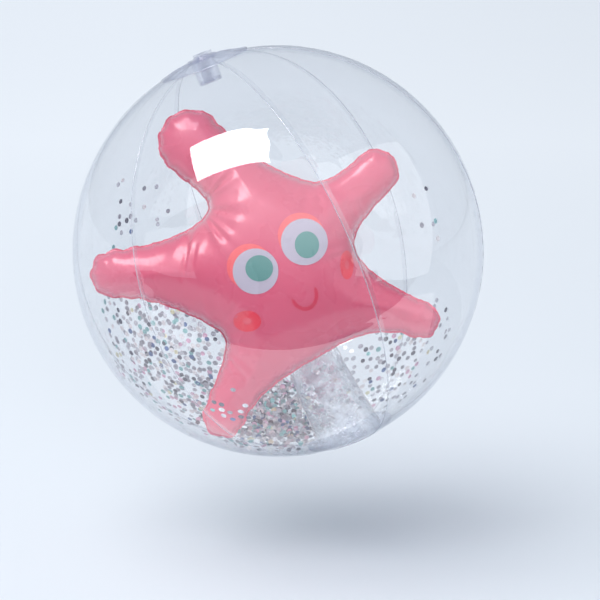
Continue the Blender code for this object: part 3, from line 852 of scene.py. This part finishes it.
def make_sleeve(field):
    rings, columns = 60, 96
    bottom = (STAR_PLANE.inverted() @ POLES["bottom"]).to_3x3() @ Vector((0, 0, 1))
    start = bottom * (BALL_RADIUS - 6 * MM)
    end = Vector((*SLEEVE_TOP, -64 * MM))
    rows = []
    for i in range(rings):
        t = i / (rings - 1)
        centre = start * (1 - t) ** 2 + SLEEVE_BEND * 2 * t * (1 - t) + end * t ** 2
        ahead = ((SLEEVE_BEND - start) * (1 - t) + (end - SLEEVE_BEND) * t).normalized()
        square = max(0.0, 1 - t / SLEEVE_SQUARE)
        ahead = (ahead * (1 - square) - bottom * square).normalized()
        right = (Vector((1, 0, 0)) - ahead * ahead.x).normalized()
        back = ahead.cross(right)
        row = []
        for c in range(columns):
            turn = 2 * math.pi * c / columns
            slack = math.sin(math.pi * t)
            fold = 1 + slack * (0.030 * math.sin(5 * turn + 4 * t) + 0.018 * math.sin(9 * turn - 9 * t)
                                + 0.014 * math.sin(30 * t + 2 * math.sin(3 * turn)))
            radius = (SLEEVE_RADIUS - SLEEVE_TAPER * t) * MM * fold
            point = centre + right * radius * math.cos(turn) + back * radius * math.sin(turn)
            row.append(point * min(1.0, (BALL_RADIUS - SLEEVE_INSET) / point.length))
        rows.append(row)
    rim = BALL_RADIUS - GAP
    for c in range(columns):
        rows[0][c] = rows[0][c].normalized() * rim
    top = circle(SLEEVE_HOLE + 2 * MM, 0, columns)
    spots = np.array([(x + SLEEVE_TOP[0], y + SLEEVE_TOP[1]) for x, y, _ in top])
    heights = field.at(spots)
    last = [Vector((x, y, -h - 0.8 * MM)) for (x, y), h in zip(spots, heights)]
    for k in range(1, 9):
        share = k / 8
        rows.append([a.lerp(b, share) for a, b in zip(rows[rings - 1], last)])
    sleeve = add("air_sleeve", [p for row in rows for p in row], grid_faces(len(rows), columns, True),
                 SLEEVE_MAT, None, "sleeve_film", ["star_sleeve"], matrix=STAR_PLANE)
    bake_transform(sleeve)
    bead = []
    for column in (0, columns // 2):
        loops = []
        for row in rows[1:rings]:
            out = (row[column] - sum(row, Vector()) / columns).normalized()
            across = (row[column + 1] - row[column - 1]).normalized()
            loops.append([row[column] + (out * math.cos(a) + across * math.sin(a)) * BEAD
                          for a in [2 * math.pi * i / 6 for i in range(6)]])
        bead.append(loops)
    for side, loops in zip(("right", "left"), bead):
        weld = clean(add(f"sleeve_weld_{side}", [p for loop in loops for p in loop], loft_faces(loops, False),
                         SLEEVE_WELD_MAT, None, "sleeve_film", matrix=STAR_PLANE))
        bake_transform(weld)


# Glitter

FLAKE_RADIUS = 2.45 * MM
FLAKE_SIZES = 0.85, 1.1        # least and most share of that radius
GLITTER_SEED = 7
FLAKE_SIDES = 12
FLAKE_SPACE = 0.024            # least angle, in radians, between two flakes on the wall
FLAKE_DEPTH = 0.9 * MM         # how far inside the skin's outer face a flake lies
HEAP_DRIFT = 18                # degrees that the heap's joint turns about X, either way
SLEEVE_KEEP_OFF = math.radians(12.5)    # angle round the bottom pole that moving flakes stay out of
SLEEVE_FOOT = math.radians(11.6)        # angle round the bottom pole that the sleeve's own film takes up
HEAP_TILT, HEAP_LEAN = 0.28, 0.25      # how unevenly its flakes lie and how far they face forward
WALL_TILT = 0.05
# The heap's flakes that would meet the sleeve as the heap drifts are a piece that stays where it is.
SCATTERS = (                   # piece, body, count, middle direction, spread in degrees, depth of the pile
    ("glitter_heap_flakes", "glitter", 1250, (-0.02, 0.31, -0.95), 13.5, 2.4 * MM),
    ("glitter_by_sleeve_flakes", "root", 1250, (-0.02, 0.31, -0.95), 13.5, 2.4 * MM),
    ("glitter_on_back_wall", "root", 900, (-0.42, 0.44, -0.79), 19, 0.0),
    ("glitter_on_left_wall", "root", 330, (-0.66, 0.46, -0.60), 13, 0.0),
    ("glitter_on_right_wall", "root", 260, (0.58, 0.42, -0.70), 13, 0.0),
    ("glitter_strays_left", "root", 26, (-0.74, 0.66, 0.05), 10, 0.0),
    ("glitter_strays_right", "root", 6, (0.77, 0.63, 0.0), 9, 0.0),
    ("glitter_on_front_wall", "root", 18, (-0.22, -0.79, -0.57), 5, 0.0),
)


def meets_sleeve(out):
    """Whether a flake of the heap would run into the sleeve or its valve as the heap drifts."""
    turned = [Matrix.Rotation(math.radians(turn), 3, "X") @ out
              for turn in range(-HEAP_DRIFT, HEAP_DRIFT + 1, 3)]
    return any(place.angle(BOTTOM_WAY) < SLEEVE_KEEP_OFF for place in turned)


def make_glitter():
    dice = random.Random(GLITTER_SEED)
    weights = [w for w, _ in GLITTER]
    for name, body, count, middle, spread, pile in SCATTERS:
        axis = Vector(middle).normalized()
        side = axis.orthogonal().normalized()
        other = axis.cross(side)
        points, faces, kinds, placed = [], [], [], []
        for _ in range(count):
            off = math.radians(spread) * math.sqrt(-2 * math.log(1 - dice.random() * 0.97)) * 0.75
            turn = dice.uniform(0, 2 * math.pi)
            out = (axis * math.cos(off) + (side * math.cos(turn) + other * math.sin(turn)) * math.sin(off))
            out.normalize()
            if name in ("glitter_on_back_wall", "glitter_on_left_wall") and out.y < -0.05:
                continue
            if not pile and any((out - other_out).length < FLAKE_SPACE for other_out in placed):
                continue
            if pile and meets_sleeve(out) != (body == "root"):
                continue
            if out.angle(BOTTOM_WAY) < SLEEVE_FOOT:
                continue
            placed.append(out)
            depth = FLAKE_DEPTH + dice.random() * pile * max(0.0, 1 - off / math.radians(spread * 1.6))
            tilt, lean = (HEAP_TILT, HEAP_LEAN) if pile else (WALL_TILT, 0.0)
            normal = (out - TOWARD * lean + Vector([dice.gauss(0, tilt) for _ in range(3)])).normalized()
            across = normal.orthogonal().normalized()
            up = normal.cross(across)
            radius = FLAKE_RADIUS * dice.uniform(*FLAKE_SIZES)
            centre = out * (BALL_RADIUS - depth - (radius * math.sqrt(max(0, 1 - normal.dot(out) ** 2))))
            first = len(points)
            for i in range(FLAKE_SIDES):
                a = 2 * math.pi * i / FLAKE_SIDES
                points.append(centre + across * radius * math.cos(a) + up * radius * math.sin(a))
            faces.append(tuple(range(first, first + FLAKE_SIDES)))
            kinds.append(dice.choices(range(len(GLITTER)), weights)[0])
        stands = ["glitter_heap"] if body == "glitter" else []
        add(name, points, faces, [m for _, m in GLITTER], body, "glitter", stands, kinds, smooth=False)


# Stage, lights and camera

ELEVATION = math.radians(15)
DISTANCE = 1.9
LENS, SENSOR = 133.7, 36.0
FLOOR_DROP = 0.268
LOOK_RIGHT, LOOK_UP = 18.5 * MM, -41.5 * MM     # where the camera aims, from the ball's centre
RIGHT = Vector((1, 0, 0))
UP = Vector((0, math.sin(ELEVATION), math.cos(ELEVATION)))
TOWARD = Vector((0, -math.cos(ELEVATION), math.sin(ELEVATION)))


def seen(right, up, toward):
    """A direction or place given as the camera sees it."""
    return RIGHT * right + UP * up + TOWARD * toward


KEY_PLACE = seen(-0.362, 0.775, 0.52).normalized() * 1.5
KEY_ACROSS = seen(0.92, 0.335, 0.22)
KEY_WIDE, KEY_HIGH, KEY_POWER = 0.98, 0.56, 6
FILL_PLACE = seen(0.18, 0.02, 0.98) * 2.2
FILL_WIDE, FILL_HIGH, FILL_POWER, FILL_SPREAD = 1.1, 0.8, 2.1, math.radians(60)
SUN_WAY, SUN_POWER, SUN_ANGLE = Vector((-0.48, -0.22, 1.0)), 1.45, math.radians(52)
SKY_STRENGTH = 0.72
FLOOR_HALF = 14.0
CARD_LIFT = 0.003              # how far the cards lie above the floor
CARD_GLOW, SOFTBOX_GLOW = 1.35, 10.0


def make_camera():
    camera = bpy.data.cameras.new("camera")
    camera.lens = LENS
    camera.sensor_width = SENSOR
    obj = linked("camera", camera)
    obj.matrix_world = Matrix((RIGHT, UP, TOWARD)).transposed().to_4x4()
    obj.location = seen(LOOK_RIGHT, LOOK_UP, DISTANCE)
    bpy.context.scene.camera = obj


def stage_material(name, near, far):
    """Matt paper with painted shade in its colour: darker in front, a little paler towards the back and a
    little darker to the right.
    """
    n = Nodes(name)
    split = n.add("SeparateXYZ", Vector=n.add("TexCoord").outputs["Object"])
    place, across = split.outputs["Y"], split.outputs["X"]
    # Painted shade: the colour is darker in front, towards the camera, and paler towards the back.
    share = n.math("MULTIPLY", n.math("ADD", place, 0.35), 0.45)
    # Painted shade: the colour also darkens a little towards the right.
    right = n.math("MULTIPLY_ADD", across, -0.055, 1.0)
    shade = n.add("VectorMath", set_operation="SCALE")
    n.feed(shade.inputs[0], n.ramp(share, (0.0, near), (1.0, far)))
    n.feed(shade.inputs["Scale"], n.math("MINIMUM", right, 1.02))
    return n.done(n.add("BsdfDiffuse", Color=shade,
                        Normal=n.bump(n.noise(900.0, 2.0), 0.02, 0.2 * MM)).outputs[0])


def panel(name, corners, material, camera=True):
    mesh = mesh_of(name, corners, [(0, 1, 2, 3)])
    mesh.materials.append(material)
    obj = linked(name, mesh)
    if not camera:
        obj.visible_camera = False
        obj.visible_diffuse = False
        obj.visible_shadow = False
        obj.visible_transmission = False
    return obj


def make_floor():
    z, far = -FLOOR_DROP, FLOOR_HALF
    corners = [(-far, -far, z), (far, -far, z), (far, far, z), (-far, far, z)]
    # The floor's colours hold painted shade: darker in front than at the back, and darker to the right.
    panel("floor", corners, stage_material("floor_painted_shade", (0.69, 0.73, 0.77), (0.87, 0.90, 0.925)))


def make_reflections():
    """What only the gloss sees: bright below, dark to bright in front, pale at the right, the softbox."""
    low = -FLOOR_DROP
    bright = glow("bright_card", (0.93, 0.96, 1.0), CARD_GLOW)
    dark = glow("dark_card", (0.10, 0.10, 0.12), 1.0)
    side = glow("side_card", (0.93, 0.96, 1.0), CARD_GLOW)
    window = glow("softbox_face", (1, 1, 1), SOFTBOX_GLOW)
    edge, near, back = -0.43, -3.2, -0.03
    for name, half, front, rear, material in (("card_under", 1, edge, back, bright),
                                              ("card_floor_front", 3, near, edge, dark)):
        corners = [(-half, front), (half, front), (half, rear), (-half, rear)]
        panel(name, [(x, y, low + CARD_LIFT) for x, y in corners], material, camera=False)
    panel("card_front", [(-3, near, low), (3, near, low), (3, -1.4, 2.9), (-3, -1.4, 2.9)],
          glow_rising("front_card", (0.10, 0.10, 0.12), (1.25, 1.30, 1.35), 0.0, 1.9), camera=False)
    spots = [(0.46, 0.70, 0.54), (0.67, -0.19, 0.72), (0.96, -0.28, 0.05), (0.72, 0.66, -0.1)]
    panel("card_right", [seen(*spot) * 2.2 for spot in spots], side, camera=False)
    key = KEY_PLACE.normalized() * (KEY_PLACE.length - 0.02)
    out = key.normalized()
    across = (KEY_ACROSS - out * out.dot(KEY_ACROSS)).normalized() * KEY_WIDE / 2
    high = out.cross(across).normalized() * KEY_HIGH / 2
    corners = [key - across - high, key + across - high, key + across + high, key - across + high]
    panel("softbox_face", corners, window, camera=False)


def glow(name, colour, strength):
    n = Nodes(name)
    return n.done(n.add("Emission", Color=(*colour, 1), Strength=strength).outputs[0])


def glow_rising(name, low, high, start, end):
    """A glow that goes from one colour to another between two heights."""
    n = Nodes(name)
    place = n.add("SeparateXYZ", Vector=n.add("TexCoord").outputs["Object"]).outputs["Z"]
    share = n.add("MapRange", set_interpolation_type="SMOOTHSTEP", Value=place, From_Min=start, From_Max=end)
    colour = n.tree.nodes.new("ShaderNodeMix")
    colour.data_type = "RGBA"
    n.feed(colour.inputs[0], share)
    colour.inputs[6].default_value, colour.inputs[7].default_value = (*low, 1), (*high, 1)
    return n.done(n.add("Emission", Color=colour.outputs[2], Strength=1.0).outputs[0])


def area_light(name, centre, across, width, height, power):
    lamp = bpy.data.lights.new(name, "AREA")
    lamp.shape = "RECTANGLE"
    lamp.size, lamp.size_y = width, height
    lamp.energy = power
    obj = linked(name, lamp)
    out = centre.normalized()
    across = (across - out * across.dot(out)).normalized()
    obj.matrix_world = Matrix((across, out.cross(across), out)).transposed().to_4x4()
    obj.location = centre
    return obj


def make_lights():
    key = area_light("key_softbox", KEY_PLACE, KEY_ACROSS, KEY_WIDE, KEY_HIGH, KEY_POWER)
    fill = area_light("front_fill", FILL_PLACE, seen(1, 0, 0), FILL_WIDE, FILL_HIGH, FILL_POWER)
    fill.data.spread = FILL_SPREAD
    for lamp in (key, fill):
        lamp.visible_glossy = False
    lamp = bpy.data.lights.new("overhead", "SUN")
    lamp.energy = SUN_POWER
    lamp.angle = SUN_ANGLE
    lamp.color = (1.0, 0.99, 0.98)
    sky = linked("overhead", lamp)
    sky.rotation_mode = "QUATERNION"
    sky.rotation_quaternion = SUN_WAY.to_track_quat("Z", "Y")
    sky.visible_glossy = False
    n = Nodes("studio", "World")
    height = n.add("SeparateXYZ", Vector=n.add("TexCoord").outputs["Generated"]).outputs["Z"]
    shade = n.ramp(n.math("MULTIPLY_ADD", height, 0.5, 0.5),
                   (0.5, (0.72, 0.78, 0.86)), (1.0, (0.62, 0.68, 0.78)))
    bpy.context.scene.world = n.done(n.add("Background", Color=shade, Strength=SKY_STRENGTH))


bpy.context.scene.view_settings.view_transform = "Standard"
bpy.context.scene.cycles.transparent_max_bounces = 32
make_gores()
for pole in POLES:
    make_disc(pole)
    make_valve(pole)
field, star_front = make_star()
make_face(surface_of(star_front))
make_sleeve(field)
make_glitter()
make_floor()
make_reflections()
make_lights()
make_camera()
